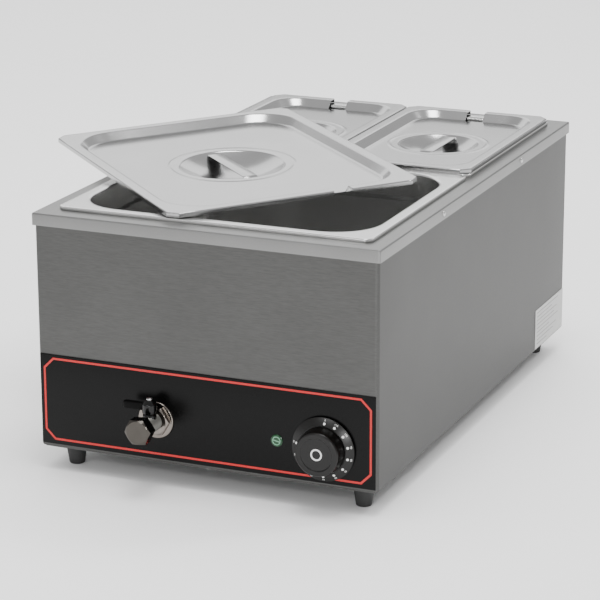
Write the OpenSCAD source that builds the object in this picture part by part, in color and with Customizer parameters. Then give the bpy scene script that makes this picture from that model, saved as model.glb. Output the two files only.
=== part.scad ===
// Countertop wet-heat steam table for one full-size well, with three notched pans and lids.
// The origin lies on the worktop under the middle of the casing. +Y points to the back.

/* [Casing] */
// Width of the deck beside the pans, on each side
deck_edge_x = 16.5; // [14:0.5:40]
// Depth of the deck beside the pans, at the front and at the back
deck_edge_y = 20; // [18:0.5:50]
// Height of the deck's top above the worktop
deck_z = 259; // [259:1:320]
// Height of the skirt that the deck turns down over the casing
skirt_h = 12; // [8:1:20]
// Thickness of the casing, deck, tank and base sheets
sheet = 1; // [0.8:0.1:1.5]
// Gap between the skirt and the casing
skirt_gap = 1; // [0.5:0.5:3]
// Outside radius of the casing's upright bends
casing_r = 4; // [3:0.5:8]
// Width of the casing's turned-in bottom lip and back returns
lip_w = 12; // [10:1:16]
// Height of the casing's bottom edge above the worktop
casing_z = 24; // [20:1:40]

/* [Well] */
// Width of the deck's ledge that a pan's rim rests on
ledge = 10.5; // [9:0.5:11]
// Radius of the tank's upright corners
well_r = 30; // [20:1:40]
// Height of the pans' floors above the heating element
pan_clear = 5.3; // [4:0.1:8]
// Diameter of the heating element's tube
heater_d = 8; // [6.5:0.5:9]
// Height of the heating element above the tank's floor
heater_lift = 10; // [9.5:0.5:11]

/* [Pans and lids] */
// Width of the pan field, which is one full-size pan
field_w = 325; // [270:1:400]
// Depth of the pan field, which is one full-size pan
field_d = 530; // [440:1:640]
// Gap between neighbouring pans
pan_gap = 0.6; // [0.4:0.1:1.5]
// Thickness of the pan and lid sheets
pan_sheet = 0.8; // [0.6:0.1:1]
// Width of a pan's flat rim
pan_rim = 13; // [11:0.5:14]
// Height of a pan's turned-down rim edge
rim_drop = 3; // [2:0.5:5]
// Overall depth of the pans
pan_h = 150; // [100:5:150]
// Corner radius of the half-size pan
half_pan_r = 45; // [30:1:50]
// Corner radius of the quarter-size pans
quarter_pan_r = 30; // [20:1:35]
// Height of a lid's turned-down edge
lid_drop = 4.5; // [3:0.5:8]
// Depth of a lid's sunk panel below its rim
lid_sink = 8; // [5:0.5:9]
// Width of a lid's spoon notch
notch_w = 20; // [12:1:30]
// Diameter of the finger bowl in the half-size lid
half_bowl_d = 108; // [80:1:108]
// Diameter of the finger bowl in the quarter-size lids
quarter_bowl_d = 85; // [60:1:90]
// Depth of the finger bowls below the sunk panel
bowl_sink = 15; // [10:1:18]
// Width of the strap handle across a finger bowl
strap_w = 15; // [10:1:20]
// Sideways turn of the half-size lid, which lies askew on the pans
askew = 47.5; // [40:0.5:50]

/* [Controls] */
// Height of the black control panel
panel_h = 91.5; // [80:0.5:91.5]
// Height of the drain tap above the worktop
tap_z = 67; // [60:0.5:67]
// Distance of the drain tap from the middle, to the left
tap_left = 50.5; // [40:0.5:80]
// Diameter of the tap's barrel
barrel_d = 18; // [15:0.5:22]
// Thickness of the tap's end cap from the barrel to its flats
cap_wall = 3; // [2:0.5:4]
// Distance that the tap's end cap stands from the control panel
tap_reach = 42; // [40:0.5:60]
// Distance of the thermostat from the casing's right side
knob_inset = 53.2; // [45:0.1:70]
// Height of the thermostat above the worktop
knob_z = 62; // [60:0.5:66]
// Diameter of the knob's dial skirt
dial_d = 63; // [54:1:66]
// Diameter of the knob's grip at the dial
grip_d = 46; // [38:1:48]
// Distance of the lamp from the thermostat
lamp_pitch = 48.4; // [45:0.1:60]
// Diameter of the lamp's lens
lamp_d = 12; // [8:0.5:14]

/* [Clearances] */
// Gap between pieces that are lifted apart
seat_gap = 0.3; // [0.2:0.05:0.5]
// Radial clearance of a shaft that turns in its hole
run_gap = 0.05; // [0.02:0.01:0.1]
// Radial clearance of a screw or sleeve in its hole
fit_gap = 0.2; // [0.1:0.05:0.4]

/* [Hidden] */
$fn = 64;
eps = 0.01;

deck_w = field_w + 2 * deck_edge_x;
deck_d = field_d + 2 * deck_edge_y;
well_w = field_w - 2 * ledge;
well_d = field_d - 2 * ledge;
casing_w = deck_w - 2 * (sheet + skirt_gap);
casing_d = deck_d - 2 * (sheet + skirt_gap);
casing_top = deck_z - sheet;
front_y = -casing_d / 2;
back_y = casing_d / 2;
base_inset = 2;
panel_inset = 3;
base_z = casing_z - sheet;
deck_r = 2;
tank_flange = 10;
vent_l = 60;
vent_w = 5;
vent_pitch = 14;
vents = 7;

panel_t = 1;
panel_side = 2;
panel_low = casing_z + 3;
panel_face = front_y - panel_t;

foot_x = casing_w / 2 - 24.5;
foot_y = casing_d / 2 - 27;
foot_top_d = 22;
foot_sole_d = 15;
foot_bore_d = 5.4;
foot_socket_d = 9.5;
foot_socket_h = 12;
foot_screw_d = 5;

pan_z = deck_z + seat_gap + rim_drop;
lid_z = pan_z + seat_gap + lid_drop;
water_h = heater_lift + heater_d / 2 + pan_clear;
tank_z = pan_z - pan_h - water_h - sheet;
pan_corner = 6;
lid_corner = 9;
lid_inset = 0.5;
shoulder_h = 25;
shoulder_step = 3;
half_d = field_d / 2;
quarter_w = field_w / 2;
lid_under = lid_sink + pan_sheet;
strap_t = 1.5;
strap_drop = 0.2;

bar_w = 20;
bar_h = 20;
bracket_w = 30;
bracket_h = 14;
bracket_l = 6;

lid_a = half_d - 2 * lid_inset;
lid_b = field_w - 2 * lid_inset;
notch_off = 48.5;
askew_x = -0.12 * field_w;
overhang = 4.5;
askew_tilt = atan((seat_gap + lid_under) / half_d);
side_run = (field_w / 2 - pan_rim + askew_x) / tan(askew) + (pan_rim + seat_gap) / sin(askew) - overhang;
askew_lift = max(0, lid_under - lid_drop - side_run * tan(askew_tilt));

heater_z = tank_z + sheet + heater_lift;
heater_x = well_w / 2 - 42;
heater_back = well_d / 2 - 74.5;
heater_turn = -well_d / 2 + 104.5;
wall_y = -well_d / 2;
sleeve_d = 14;
sleeve_head_d = 17;
heater_end = wall_y - 16;

tap_x = -tap_left;
washer_t = 2;
front_nut_t = 4.5;
thread_d = barrel_d + 2.6;
nut_flats = thread_d + 6.4;
washer_d = thread_d + 16.4;
cap_flats = barrel_d + 2 * cap_wall;
cap_l = 12;
cap_turn = 4.5;
waterway_d = barrel_d - 8;
ball_d = barrel_d - 3;
ball_gap = 0.2;
stem_y = panel_face - 14;
stem_d = 6;
stem_tower_d = 12;
stem_tower_h = barrel_d / 2 + 2;
lever_l = 24;
lever_w = 7;
boss_d = 14.5;
boss_h = 12.5;
drain_y = -well_d / 2 + 49.5;
drain_d = 18;
spigot_l = 16;
bend_r = 10;
pipe_d = barrel_d - 2;
socket_l = 10;
tail_y = front_y + 21;

knob_x = casing_w / 2 - knob_inset;
dial_gap = 3;
dial_t = 3;
grip_l = 15;
grip_end_d = grip_d - 3;
knob_cap_d = 12;
shaft_d = 6;
bush_d = 10;
thermo_w = 40;
thermo_l = 36;
thermo_h = 38;
screw_pitch = 28;

lamp_x = knob_x - lamp_pitch;
lamp_z = knob_z + 1;
lamp_l = 24;
gland_x = -casing_w / 2 + 67;
gland_z = casing_z + 38;
gland_d = 16;
cable_d = 8;
block_w = 60;
earth_x = 100;
block_l = 24;
block_y = casing_d / 2 - 93;
bulb_x = 60;
cutout_x = -20;
cutout_y = -60;
bulb_y = wall_y + 84.5;
bulb_d = 6;
bulb_drop = 3.4;
lead_y = 120;

small_screw_d = 3;
case_screw_d = 4;
deck_screw_y = 117.5;
base_screw_x = casing_w / 2 - sheet - lip_w / 2;
base_screw_y = casing_d / 2 - sheet - lip_w / 2;
side_screw_y = casing_d / 2 - 91;

steel = "#a9a9a7";
pale_steel = "#c3c3c2";
black = "#232323";

// Flat shapes

module rounded(w, d, r) {
    square([w - 2 * r, d], center = true);
    square([w, d - 2 * r], center = true);
    for (x = [-1, 1], y = [-1, 1]) translate([x * (w / 2 - r), y * (d / 2 - r)]) circle(r);
}

module chamfered(w, d, c) {
    polygon([[-w / 2 + c, -d / 2], [w / 2 - c, -d / 2], [w / 2, -d / 2 + c], [w / 2, d / 2 - c],
        [w / 2 - c, d / 2], [-w / 2 + c, d / 2], [-w / 2, d / 2 - c], [-w / 2, -d / 2 + c]]);
}

module slot(l, w) {
    square([l - w, w], center = true);
    for (x = [-1, 1]) translate([x * (l - w) / 2, 0]) circle(w / 2);
}

// Solid shapes that repeat

module block(w, d, z0, z1) {
    translate([-w / 2, -d / 2, z0]) cube([w, d, z1 - z0]);
}

// A plate of the rounded outline from one height to another
module slab(w, d, r, z0, z1) {
    translate([0, 0, z0]) linear_extrude(z1 - z0) rounded(w, d, r);
}

// Points a shape built along +Z out of the front, towards -Y, at a place on the front
module on_front(x, z, y = 0) {
    translate([x, y, z]) rotate([90, 0, 0]) children();
}

module hexagon_bar(flats, h) {
    cylinder(d = flats / cos(30), h = h, $fn = 6);
}

module pan_screw(d, head_d, head_h, l) {
    cylinder(d = d, h = l);
    translate([0, 0, -head_h]) cylinder(d1 = head_d * 0.7, d2 = head_d, h = head_h);
}

// A round lead through a list of points, with a slightly thicker ball at each turn
module lead(points, d) {
    for (i = [0 : len(points) - 2]) {
        run = points[i + 1] - points[i];
        turn = atan2(run.y, run.x);
        lean = atan2(norm([run.x, run.y]), run.z);
        translate(points[i]) rotate([0, lean, turn]) cylinder(d = d, h = norm(run), $fn = 24);
    }
    for (i = [1 : len(points) - 2]) translate(points[i]) sphere(d = d + 0.8, $fn = 24);
}

// A through hole for a screw, with its clearance
module hole(d, h) {
    cylinder(d = d + 2 * fit_gap, h = h);
}

module at_feet() {
    for (x = [-1, 1], y = [-1, 1]) translate([x * foot_x, y * foot_y, 0]) children();
}

module at_deck_screws() {
    for (x = [-1, 1], y = [-1, 1]) {
        translate([x * deck_w / 2, y * deck_screw_y, deck_z - skirt_h / 2]) rotate([0, -x * 90, 0])
            children();
    }
}

module at_base_screws() {
    for (x = [-1, 1], y = [-1, 1]) translate([x * base_screw_x, y * side_screw_y, 0]) children();
    translate([0, -base_screw_y, 0]) children();
}

module at_rear_screws() {
    for (x = [-1, 1], z = [casing_z + 18, casing_top - 30]) {
        translate([x * (casing_w / 2 - lip_w / 2 - 1), back_y, z]) rotate([90, 0, 0]) children();
    }
}

module at_thermostat_screws() {
    for (x = [-1, 1]) on_front(knob_x + x * screw_pitch / 2, knob_z) children();
}

// Casing

module casing() {
    inner_w = casing_w - 2 * sheet;
    inner_d = casing_d - 2 * sheet;
    color("#7d7d7c") difference() {
        slab(casing_w, casing_d, casing_r, casing_z, casing_top);
        slab(inner_w, inner_d, casing_r - sheet, casing_z + sheet, casing_top + 1);
        // The bottom stays as a lip along the front and the sides
        translate([0, lip_w, 0]) {
            block(inner_w - 2 * lip_w, inner_d, casing_z - 1, casing_z + sheet + 1);
        }
        // The back stays as a return beside each side
        translate([0, back_y, 0]) block(casing_w - 2 * lip_w, 3 * sheet, casing_z - 1, casing_top + 1);
        at_deck_screws() translate([0, 0, -1]) hole(small_screw_d, 8);
        at_base_screws() translate([0, 0, casing_z - 1]) hole(small_screw_d, 3);
        at_rear_screws() translate([0, 0, -1]) hole(small_screw_d, 4);
        at_thermostat_screws() translate([0, 0, -front_y - 2]) hole(case_screw_d, 4);
        control_holes(front_y + 2, 4);
    }
}

// Holes for the tap, the thermostat's bush and the lamp
module control_holes(y, l) {
    on_front(tap_x, tap_z, y) cylinder(d = thread_d + 2 * fit_gap, h = l);
    on_front(knob_x, knob_z, y) cylinder(d = bush_d + 2 * fit_gap, h = l);
    on_front(lamp_x, lamp_z, y) cylinder(d = lamp_d - 2 + 2 * fit_gap, h = l);
}

module rear_panel() {
    h = casing_top - casing_z - sheet;
    color(steel) difference() {
        translate([-casing_w / 2 + panel_inset, back_y - 3 * sheet, casing_z + sheet]) {
            cube([casing_w - 2 * panel_inset, sheet, h]);
        }
        at_rear_screws() translate([0, 0, -1]) hole(small_screw_d, 8);
        translate([gland_x, back_y + 1, gland_z]) rotate([90, 0, 0]) hole(gland_d, 8);
    }
}

module deck() {
    color("#9c9c9b") difference() {
        slab(deck_w, deck_d, deck_r, deck_z - skirt_h, deck_z);
        slab(deck_w - 2 * sheet, deck_d - 2 * sheet, deck_r - sheet / 2, deck_z - skirt_h - 1,
            deck_z - sheet);
        slab(well_w, well_d, well_r, deck_z - skirt_h, deck_z + 1);
        at_deck_screws() translate([0, 0, -1]) hole(small_screw_d, 8);
    }
}

module base_plate() {
    color(steel) difference() {
        slab(casing_w - 2 * base_inset, casing_d - 2 * base_inset, casing_r, base_z, casing_z);
        at_feet() cylinder(d = foot_bore_d, h = casing_z + 1);
        at_base_screws() translate([0, 0, base_z - 1]) hole(small_screw_d, 3);
        translate([earth_x, block_y, 0]) hole(case_screw_d, casing_z + 1);
        for (x = [-1, 1], i = [0 : vents - 1]) {
            translate([x * casing_w / 5, (i - (vents - 1) / 2) * vent_pitch, base_z - 1]) {
                linear_extrude(sheet + 2) slot(vent_l, vent_w);
            }
        }
    }
}

module tank() {
    color(steel) difference() {
        union() {
            slab(well_w + 2 * sheet, well_d + 2 * sheet, well_r + sheet, tank_z, casing_top);
            slab(well_w + 2 * tank_flange, well_d + 2 * tank_flange, well_r + tank_flange,
                casing_top - sheet, casing_top);
        }
        slab(well_w, well_d, well_r, tank_z + sheet, casing_top + 1);
        translate([tap_x, drain_y, tank_z - 1]) cylinder(d = drain_d, h = 3);
        at_element_ends() translate([0, 0, -2]) cylinder(d = sleeve_d + 2 * fit_gap, h = 4);
    }
}

// Two angles on the tank's long walls carry the ends of the cross bar
module bar_brackets() {
    top = deck_z - bar_h - seat_gap;
    color(steel) for (x = [-1, 1]) {
        translate([x * (well_w / 2 - sheet / 2), 0, 0]) block(sheet, bracket_w, top - bracket_h, top);
        translate([x * (well_w - bracket_l) / 2, 0, 0]) block(bracket_l, bracket_w, top - sheet, top);
    }
}

module control_panel() {
    color(black) difference() {
        translate([-casing_w / 2 + panel_side, panel_face, panel_low]) {
            cube([casing_w - 2 * panel_side, panel_t, panel_h]);
        }
        control_holes(front_y + 1, 4);
        at_thermostat_screws() translate([0, 0, -front_y - 1]) hole(case_screw_d, 4);
    }
}

module feet() {
    color(black) at_feet() rotate_extrude() polygon([[foot_bore_d / 2, foot_socket_h],
        [foot_socket_d / 2, foot_socket_h], [foot_socket_d / 2, 0], [foot_sole_d / 2 - 1, 0],
        [foot_sole_d / 2, 1], [foot_top_d / 2, base_z], [foot_bore_d / 2, base_z]]);
}

module foot_screws() {
    color("silver") at_feet() translate([0, 0, foot_socket_h]) {
        pan_screw(foot_screw_d, foot_socket_d - 1, 3, casing_z + 7 - foot_socket_h);
    }
}

module foot_nuts() {
    color("silver") at_feet() translate([0, 0, casing_z]) difference() {
        hexagon_bar(8, 4);
        translate([0, 0, -1]) cylinder(d = foot_screw_d + 2 * run_gap, h = 6);
    }
}

module deck_screws() {
    color("silver") at_deck_screws() pan_screw(small_screw_d, 5.5, 1.6, 6);
}

module base_screws() {
    color("silver") at_base_screws() translate([0, 0, base_z]) pan_screw(small_screw_d, 6, 1.8, 6);
}

module rear_screws() {
    color("silver") at_rear_screws() pan_screw(small_screw_d, 5.5, 1.6, 6);
}

module rating_plate() {
    color("#cfcfcf") translate([casing_w / 2, back_y - 99, casing_z + 2]) cube([0.5, 96, 44]);
}

// Water heating

// The tube passes through the front wall at each end and makes three turns in one plane
module heating_element() {
    pitch = 2 * heater_x / 3;
    color("#8f8c88") {
        for (x = [-1, 1]) {
            heater_run(x * heater_x, heater_end, heater_back);
            heater_run(x * pitch / 2, heater_turn, heater_back);
            translate([x * pitch, heater_back, heater_z]) heater_turn(pitch / 2, 0);
        }
        translate([0, heater_turn, heater_z]) heater_turn(pitch / 2, 180);
    }
}

module heater_run(x, y0, y1) {
    translate([x, y0, heater_z]) rotate([-90, 0, 0]) cylinder(d = heater_d, h = y1 - y0);
}

module heater_turn(r, turn) {
    rotate([0, 0, turn]) rotate_extrude(angle = 180) translate([r, 0]) circle(d = heater_d);
}

// The element's ends, seen from the tank's front wall with +Z pointing out of the tank
module at_element_ends() {
    for (x = [-1, 1]) on_front(x * heater_x, heater_z, wall_y) children();
}

module element_sleeves() {
    color("#c9a75a") at_element_ends() difference() {
        union() {
            translate([0, 0, -1.2]) cylinder(d = sleeve_d, h = 12);
            translate([0, 0, -3.2]) cylinder(d = sleeve_head_d, h = 2);
        }
        translate([0, 0, -4]) cylinder(d = heater_d + 2 * run_gap, h = 20);
    }
}

module element_seals() {
    color(black) at_element_ends() translate([0, 0, -1.2]) difference() {
        cylinder(d = sleeve_head_d, h = 1.2);
        translate([0, 0, -1]) cylinder(d = sleeve_d + 2 * fit_gap, h = 4);
    }
}

module element_nuts() {
    color("#c9a75a") at_element_ends() translate([0, 0, sheet]) difference() {
        hexagon_bar(20, 5);
        translate([0, 0, -1]) cylinder(d = sleeve_d + 2 * run_gap, h = 8);
    }
}

// Insulators with a push-on tab on the tube's ends
module element_terminals() {
    color("#e6e1d6") at_element_ends() {
        translate([0, 0, 16]) cylinder(d = heater_d - 1, h = 2);
        translate([-3.15, -0.4, 18]) cube([6.3, 0.8, 6]);
    }
}

module element_rests() {
    strip_t = 1.2;
    color(steel) for (y = [-100, 100]) translate([0, y, tank_z + sheet]) {
        block(2 * heater_x + 20, 12, 0, strip_t);
        for (x = [-3, -1, 1, 3]) translate([x * heater_x / 3, 0, 0]) {
            block(8, 8, strip_t, heater_lift - heater_d / 2 - 0.1);
        }
    }
}

module drain_spigot() {
    color("silver") translate([tap_x, drain_y, tank_z + sheet]) difference() {
        union() {
            cylinder(d = drain_d + 16, h = 1.5);
            translate([0, 0, -spigot_l]) cylinder(d = drain_d - 2 * fit_gap, h = spigot_l);
        }
        translate([0, 0, -spigot_l - 1]) cylinder(d = waterway_d + 2, h = spigot_l + 4);
    }
}

module drain_seal() {
    color(black) translate([tap_x, drain_y, tank_z - 2]) difference() {
        cylinder(d = drain_d + 10, h = 2);
        translate([0, 0, -1]) cylinder(d = drain_d, h = 4);
    }
}

module drain_nut() {
    color("silver") translate([tap_x, drain_y, tank_z - 8]) difference() {
        hexagon_bar(drain_d + 7, 6);
        translate([0, 0, -1]) cylinder(d = drain_d - 2 * fit_gap + 2 * run_gap, h = 8);
    }
}

// One elbow carries the water from under the tank to the tail of the tap
module drain_elbow() {
    bend_z = tap_z + bend_r;
    drop = tank_z + sheet - spigot_l - bend_z;
    color("#b87a4a") difference() {
        union() {
            drain_way(pipe_d);
            translate([tap_x, drain_y, bend_z - 4]) cylinder(d = drain_d + 4, h = drop + 9);
        }
        drain_way(waterway_d + 2);
        translate([tap_x, drain_y, bend_z]) cylinder(d = drain_d - 3, h = drop + 1);
        translate([tap_x, drain_y, bend_z + drop]) cylinder(d = drain_d, h = 6);
    }
}

module drain_way(d) {
    translate([tap_x, drain_y - bend_r, tap_z + bend_r]) rotate([90, 0, 90]) rotate([0, 0, -90]) {
        rotate_extrude(angle = 90) translate([bend_r, 0]) circle(d = d);
    }
    translate([tap_x, drain_y - bend_r, tap_z]) rotate([90, 0, 0]) {
        cylinder(d = d, h = drain_y - bend_r - tail_y + socket_l + (d < pipe_d ? eps : 0));
    }
}

// Controls

module thermostat_case() {
    back = front_y + sheet + 1;
    color("#d8d2c4") difference() {
        union() {
            translate([knob_x - thermo_w / 2, back, knob_z - thermo_h / 2]) {
                cube([thermo_w, thermo_l, thermo_h]);
            }
            translate([knob_x, back + eps, knob_z]) rotate([90, 0, 0]) cylinder(d = bush_d, h = 4);
            translate([knob_x - 22, front_y + sheet, knob_z - 10]) cube([44, 1, 20]);
        }
        on_front(knob_x, knob_z, back + 21) cylinder(d = shaft_d + 2 * run_gap, h = 30);
        for (x = [-1, 1]) {
            on_front(knob_x + x * screw_pitch / 2, knob_z, back + 7) {
                cylinder(d = case_screw_d + 2 * run_gap, h = 12);
            }
        }
    }
}

module thermostat_screws() {
    color("silver") at_thermostat_screws() translate([0, 0, -panel_face]) mirror([0, 0, 1]) {
        pan_screw(case_screw_d, 7, 2, 8);
    }
}

module thermostat_bulb() {
    top = tank_z - bulb_drop;
    drop_x = knob_x - 11.8;
    drop_y = front_y + 21;
    color("#b87a4a") {
        translate([bulb_x, bulb_y, top]) rotate([-90, 0, 0]) cylinder(d = bulb_d, h = 90);
        lead([[bulb_x, bulb_y + 1, top], [bulb_x, bulb_y - 66, top], [drop_x, drop_y, top],
            [drop_x, drop_y, knob_z + thermo_h / 2 + 0.2]], 2);
    }
}

module bulb_clip() {
    color(steel) for (y = [20, 70]) translate([bulb_x, bulb_y + y, 0]) difference() {
        block(22, 8, tank_z - bulb_drop - bulb_d / 2 - 1.2, tank_z);
        translate([0, 5, tank_z - bulb_drop]) rotate([90, 0, 0]) cylinder(d = bulb_d + 0.2, h = 10);
        for (x = [-1, 1]) translate([x * 9, 0, 0]) block(8, 9, tank_z - 9, tank_z - 1);
    }
}

module cutout_switch() {
    color(black) translate([cutout_x, cutout_y, 0]) {
        translate([0, 0, tank_z - 12]) cylinder(d = 17, h = 12 - sheet);
        for (x = [-1, 1]) translate([x * 5, 0, 0]) block(0.8, 6.3, tank_z - 20, tank_z - 12);
    }
}

module cutout_bracket() {
    color("silver") translate([cutout_x, cutout_y, 0]) {
        block(40, 12, tank_z - sheet, tank_z);
        for (x = [-1, 1]) translate([x * 16, 0, tank_z - 8]) cylinder(d = 4, h = 8 - sheet);
    }
}

module lamp_holder() {
    color("#e8e8e8") difference() {
        union() {
            on_front(lamp_x, lamp_z, panel_face + lamp_l) cylinder(d = lamp_d - 2, h = lamp_l);
            on_front(lamp_x, lamp_z, front_y + sheet + 3) cylinder(d = lamp_d + 2, h = 3);
        }
        on_front(lamp_x, lamp_z, panel_face + 6) cylinder(d = lamp_d - 5, h = 7);
    }
}

module lamp_lens() {
    color("#2f8f4e") {
        on_front(lamp_x, lamp_z, panel_face) cylinder(d = lamp_d, h = 1.2);
        on_front(lamp_x, lamp_z, panel_face + 5) cylinder(d = lamp_d - 5.4, h = 5);
        on_front(lamp_x, lamp_z, panel_face - 1.2) cylinder(d1 = lamp_d - 1, d2 = lamp_d - 5, h = 1.6);
    }
}

module terminal_block() {
    color("#ddd8cc") translate([0, block_y, casing_z]) difference() {
        block(block_w, block_l, 0, 18);
        for (x = [-1 : 1]) translate([x * block_w / 3, 0, 0]) {
            translate([0, 6, 10]) cylinder(r = 3, h = 9);
            translate([0, 13, 7]) rotate([90, 0, 0]) cylinder(r = 2, h = 8);
        }
    }
}

module earth_stud() {
    color("#c9a75a") translate([earth_x, block_y, casing_z]) {
        translate([0, 0, -2.8]) cylinder(d = case_screw_d, h = 18);
        hexagon_bar(7, 3.2);
    }
}

module cable_gland() {
    color(black) difference() {
        union() {
            translate([gland_x, back_y - 3 * sheet, gland_z]) rotate([90, 0, 0]) {
                cylinder(d = gland_d, h = 9);
            }
            translate([gland_x, back_y - 3 * sheet, gland_z]) rotate([-90, 0, 0]) {
                cylinder(d = gland_d, h = sheet);
                translate([0, 0, sheet]) hexagon_bar(gland_d + 4, 7);
                translate([0, 0, sheet + 7]) cylinder(d1 = gland_d + 3, d2 = gland_d - 1, h = 10);
            }
        }
        translate([gland_x, back_y + 30, gland_z]) rotate([90, 0, 0]) {
            cylinder(d = cable_d + 2 * fit_gap, h = 60);
        }
    }
}

module gland_nut() {
    color(black) translate([gland_x, back_y - 3 * sheet, gland_z]) rotate([90, 0, 0]) difference() {
        hexagon_bar(gland_d + 4, 5);
        translate([0, 0, -1]) cylinder(d = gland_d + 2 * run_gap, h = 7);
    }
}

// Leads between the terminal block, the controls and the element
module wiring() {
    low = casing_z + 12;
    plug_x = block_w / 3;
    plug_y = block_y - block_l / 2 - seat_gap;
    plug_z = casing_z + 7;
    case_y = front_y + sheet + 1 + thermo_l + seat_gap;
    turn_y = drain_y - 15;
    tab_y = heater_end - 4;
    tab_z = heater_z - 0.8;
    color("#3a3a3a") {
        lead([[plug_x, plug_y, plug_z], [plug_x, lead_y, low], [knob_x, -lead_y, low],
            [knob_x, case_y, knob_z - 8]], 3);
        lead([[-plug_x, plug_y, plug_z], [-plug_x - 10, lead_y, low], [-heater_x, turn_y - 10, low],
            [-heater_x + 3, tab_y, tank_z - 4], [-heater_x, tab_y, tab_z]], 3);
        lead([[knob_x + 12, case_y, knob_z + 8], [knob_x + 12, case_y + 6, knob_z + 8],
            [knob_x + 12, case_y + 6, tank_z - 4], [heater_x, tab_y, tank_z - 4],
            [heater_x, tab_y, tab_z]], 3);
        lead([[lamp_x, panel_face + lamp_l + seat_gap, lamp_z], [lamp_x, turn_y, lamp_z],
            [knob_x - 12, turn_y, low + 6], [knob_x - 12, case_y, knob_z - 12]], 2);
    }
}

// Drain tap

module tap_barrel() {
    tail = tail_y - (panel_face - washer_t - front_nut_t);
    color("#8d8b88") difference() {
        union() {
            on_front(tap_x, tap_z, tail_y) cylinder(d = thread_d, h = tail);
            on_front(tap_x, tap_z, tail_y) {
                cylinder(d = barrel_d, h = tail_y - panel_face + tap_reach - 5);
            }
            translate([tap_x, stem_y, tap_z]) cylinder(d = stem_tower_d, h = stem_tower_h);
        }
        on_front(tap_x, tap_z, tail_y + 1) cylinder(d = waterway_d, h = 100);
        on_front(tap_x, tap_z, tail_y + 1) cylinder(d = pipe_d + 2 * run_gap, h = socket_l + 1 + eps);
        on_front(tap_x, tap_z, stem_y + ball_d / 2 + 1) {
            cylinder(d = ball_d + 2 * ball_gap, h = ball_d + 2);
        }
        translate([tap_x, stem_y, tap_z]) cylinder(d = stem_d, h = 20);
    }
}

module tap_washer() {
    color("silver") on_front(tap_x, tap_z, panel_face) difference() {
        union() {
            cylinder(d = washer_d, h = washer_t - 0.8);
            translate([0, 0, washer_t - 0.8]) cylinder(d1 = washer_d, d2 = washer_d - 3, h = 0.8);
        }
        translate([0, 0, -1]) cylinder(d = thread_d + 2 * run_gap, h = 5);
    }
}

module tap_front_nut() {
    color("silver") on_front(tap_x, tap_z, panel_face - washer_t) difference() {
        hexagon_bar(nut_flats, front_nut_t);
        translate([0, 0, -1]) cylinder(d = thread_d + 2 * run_gap, h = 10);
    }
}

module tap_inner_nut() {
    color("silver") on_front(tap_x, tap_z, front_y + sheet + 6) difference() {
        hexagon_bar(nut_flats, 6);
        translate([0, 0, -1]) cylinder(d = thread_d + 2 * run_gap, h = 10);
    }
}

// Two rings in the barrel that the ball turns between
module tap_seats() {
    color("white") for (side = [-1, 1]) difference() {
        on_front(tap_x, tap_z, stem_y + (side == 1 ? ball_d / 2 + 1 : -ball_d / 2 + 2)) {
            difference() {
                cylinder(d = ball_d + ball_gap, h = 3);
                translate([0, 0, -1]) cylinder(d = waterway_d, h = 5);
            }
        }
        translate([tap_x, stem_y, tap_z]) sphere(d = ball_d + 2 * ball_gap);
    }
}

// The ball and its stem, with the waterway across the barrel while the tap is shut
module tap_ball() {
    color("#b5b5b3") difference() {
        union() {
            translate([tap_x, stem_y, tap_z]) sphere(d = ball_d);
            translate([tap_x, stem_y, tap_z]) cylinder(d = stem_d - 2 * run_gap, h = stem_tower_h + 8);
        }
        translate([tap_x - ball_d, stem_y, tap_z]) rotate([0, 90, 0]) {
            cylinder(d = waterway_d, h = 2 * ball_d);
        }
    }
}

module tap_lever() {
    low = tap_z + stem_tower_h + seat_gap;
    color(black) difference() {
        union() {
            translate([tap_x, stem_y, low]) cylinder(d = boss_d, h = boss_h - 2.5);
            translate([tap_x, stem_y, low + boss_h - 2.5]) {
                cylinder(d1 = boss_d, d2 = boss_d - 5.5, h = 2.5);
            }
            translate([tap_x - lever_l, stem_y - lever_w / 2, low + 2.5]) cube([lever_l, lever_w, 7]);
            translate([tap_x - lever_l, stem_y, low + 2.5]) cylinder(d = lever_w, h = 7);
        }
        translate([tap_x, stem_y, low - 1]) cylinder(d = stem_d, h = 9 - seat_gap);
        translate([tap_x, stem_y, low]) cylinder(d = small_screw_d, h = 20);
    }
}

module lever_screw() {
    top = tap_z + stem_tower_h + seat_gap + boss_h;
    color("silver") translate([tap_x, stem_y, top]) {
        translate([0, 0, -4]) cylinder(d = small_screw_d - 2 * run_gap, h = 4);
        cylinder(d = 6.5, h = 1.2);
        translate([0, 0, 1.2]) cylinder(d1 = 6.5, d2 = 4.5, h = 0.9);
    }
}

module tap_cap() {
    far = panel_face - tap_reach;
    color("#8d8b88") on_front(tap_x, tap_z, far + cap_l) rotate([0, 0, cap_turn]) difference() {
        intersection() {
            hexagon_bar(cap_flats, cap_l);
            union() {
                cylinder(d = 2 * cap_flats, h = cap_l - 2);
                translate([0, 0, cap_l - 2]) {
                    cylinder(d1 = cap_flats / cos(30), d2 = cap_flats - 1, h = 2);
                }
            }
        }
        translate([0, 0, -1]) cylinder(d = barrel_d + 2 * fit_gap, h = cap_l - 3 + 1);
    }
}

module cap_seal() {
    color(black) on_front(tap_x, tap_z, panel_face - tap_reach + 4.6) {
        cylinder(d = barrel_d - 1, h = 1.6);
    }
}

// Thermostat knob

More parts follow.
